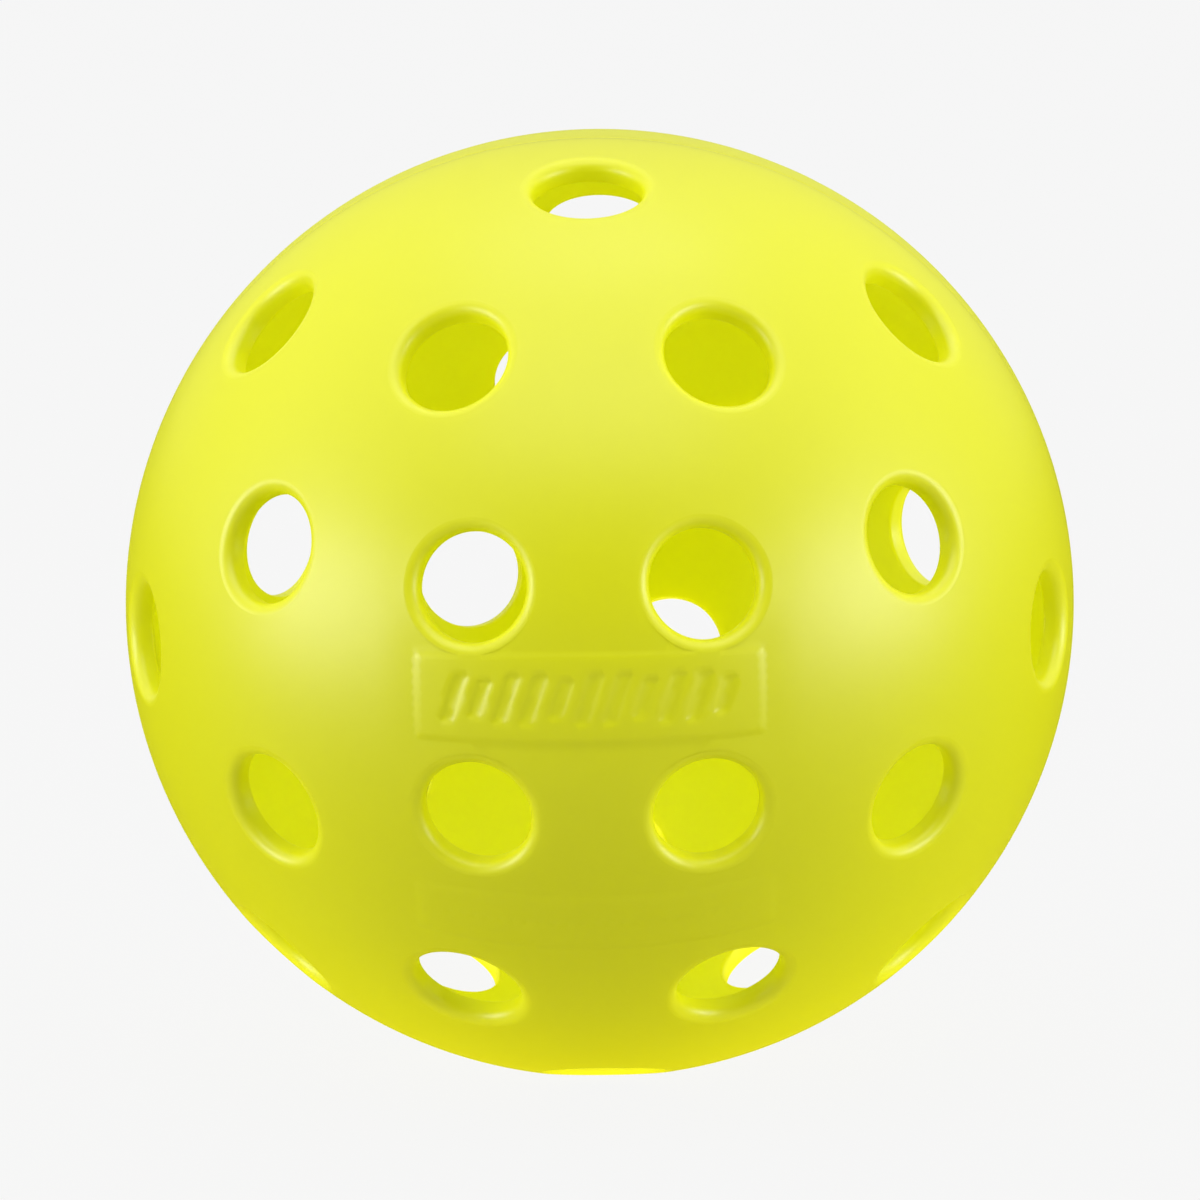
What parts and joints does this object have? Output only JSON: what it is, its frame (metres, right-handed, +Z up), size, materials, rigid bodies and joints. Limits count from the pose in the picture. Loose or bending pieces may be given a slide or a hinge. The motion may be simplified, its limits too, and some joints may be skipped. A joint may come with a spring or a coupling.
{
  "type": "pickleball ball",
  "caption": "Hollow plastic court ball: two moulded half shells welded at the equator, bored all over with round holes in rings about two poles.",
  "frame": {"origin": "centre of the ball", "axes": "+Y along the line through the two poles, from the front half to the rear half; +Z up, as the ball stands on a floor"},
  "size_m": [0.074, 0.074, 0.074],
  "materials": {
    "front_half_shell": "satin moulded polyethylene, optic yellow",
    "rear_half_shell": "satin moulded polyethylene, optic yellow"
  },
  "bodies": {
    "root": {"front_half_shell": "front_half_shell", "rear_half_shell": "rear_half_shell"}
  },
  "joints": []
}
